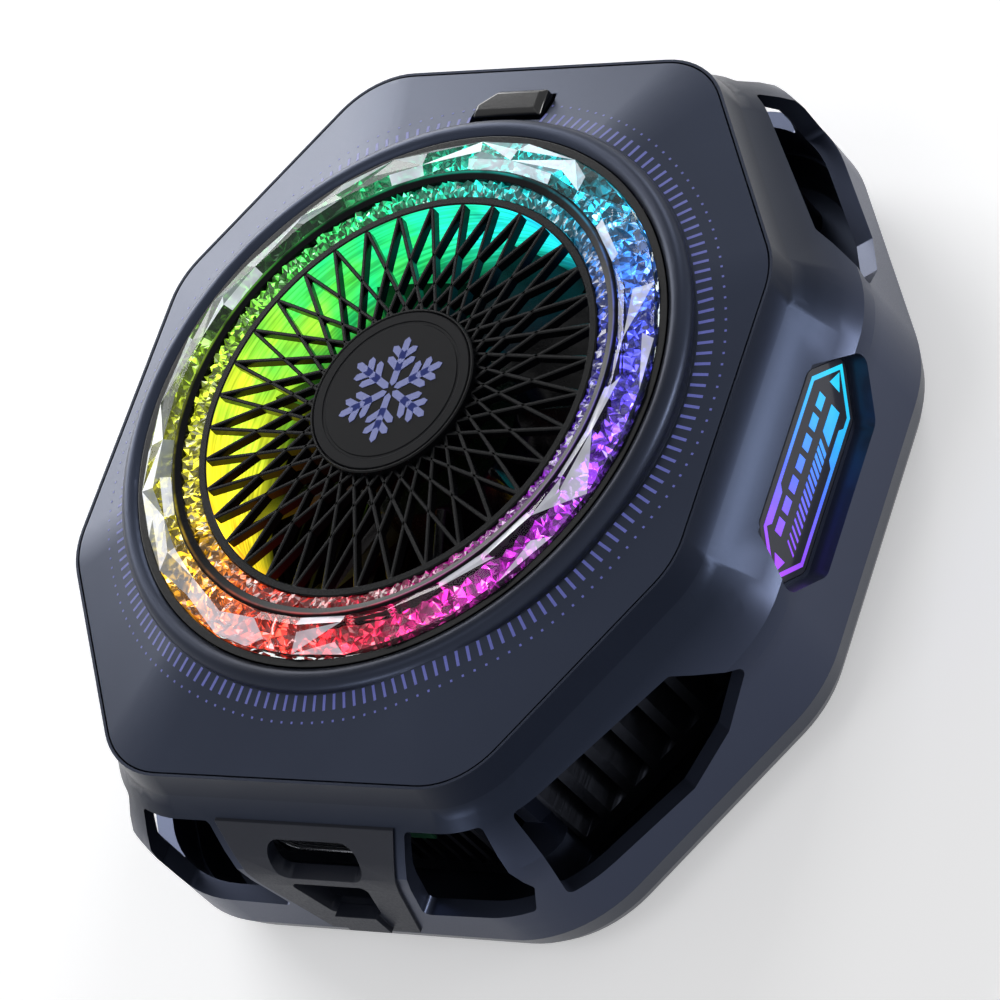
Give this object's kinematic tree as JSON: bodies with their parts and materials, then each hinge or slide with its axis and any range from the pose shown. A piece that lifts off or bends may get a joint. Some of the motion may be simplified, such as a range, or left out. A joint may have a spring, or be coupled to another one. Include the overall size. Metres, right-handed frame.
{
  "type": "phone cooling fan",
  "caption": "Eight-sided magnetic cooler for a phone's back, with a fan behind a spoked grille, lit rings, side vents, a heat sink and a cold plate.",
  "frame": {"origin": "centre of the back contact face that rests on the phone, on the fan axis", "axes": "+Z along the fan axis from the phone out through the grille, +Y towards the mode button, +X towards the right light window"},
  "size_m": [0.0732, 0.081, 0.0281],
  "materials": {
    "shell_plastic": "matte",
    "cover_plastic": "matte",
    "black_gloss": "polished",
    "black_satin": "satin",
    "grille_plastic": "satin",
    "clear_plastic": "polished",
    "glow_plastic": "polished",
    "frosted_plastic": "satin",
    "duct_plastic": "satin",
    "blade_plastic": "satin",
    "lens_plastic": "polished",
    "guide_plastic": "satin",
    "white_plastic": "matte",
    "lamp_plastic": "satin",
    "board_laminate": "satin",
    "chip_plastic": "matte",
    "fin_aluminium": "satin",
    "plate_aluminium": "brushed",
    "steel": "brushed",
    "magnet_metal": "polished",
    "bronze": "satin",
    "copper": "polished",
    "white_ceramic": "matte",
    "dark_ceramic": "matte",
    "grey_pad": "matte",
    "soft_rubber": "matte",
    "black_foam": "matte"
  },
  "bodies": {
    "housing": {"front_cover": "cover_plastic", "body_shell": "shell_plastic", "rear_cover": "shell_plastic", "port_panel": "shell_plastic", "trim_ring": "black_gloss", "crystal_ring": "clear_plastic", "glow_ring": "glow_plastic", "ring_leds": "lamp_plastic", "ring_board": "board_laminate", "ring_carrier": "white_plastic", "inner_bezel_ring": "black_gloss", "ice_ring": "frosted_plastic", "fan_grille": "grille_plastic", "hub_badge": "black_satin", "light_duct": "duct_plastic", "fan_frame": "grille_plastic", "fan_screws": "steel", "thrust_washer": "white_plastic", "bearing_sleeve": "bronze", "fan_board": "board_laminate", "stator_core": "steel", "stator_coils": "copper", "heat_sink": "fin_aluminium", "thermal_pad": "grey_pad", "peltier_hot_plate": "white_ceramic", "peltier_pellets": "dark_ceramic", "peltier_seal": "soft_rubber", "peltier_cold_plate": "white_ceramic", "cold_plate": "plate_aluminium", "insulation_foam": "black_foam", "temperature_sensor": "chip_plastic", "contact_pad": "soft_rubber", "ring_magnets": "magnet_metal", "magnet_shield": "steel", "cover_screws": "steel", "sink_screws": "steel", "main_board": "board_laminate", "board_chips": "chip_plastic", "usb_socket": "steel", "usb_tongue": "chip_plastic", "button_switch": "chip_plastic", "button_board": "board_laminate", "right_window_lens": "lens_plastic", "left_window_lens": "lens_plastic", "right_window_guide": "guide_plastic", "left_window_guide": "guide_plastic", "right_window_board": "board_laminate", "left_window_board": "board_laminate", "right_window_leds": "lamp_plastic", "left_window_leds": "lamp_plastic"},
    "rotor": {"impeller": "blade_plastic", "rotor_yoke": "steel", "rotor_magnet": "dark_ceramic", "fan_shaft": "steel"},
    "button": {"mode_button": "black_gloss"}
  },
  "joints": [
    {"name": "fan_spin", "type": "hinge", "parent": "housing", "child": "rotor", "pos_m": [0, 0, 0.0178], "axis": [0, 0, 1], "continuous": true},
    {"name": "button_press", "type": "slide", "parent": "housing", "child": "button", "axis": [0, 0, -1], "range_m": [0, 0.0004], "stiffness_N_per_m": 1000}
  ]
}
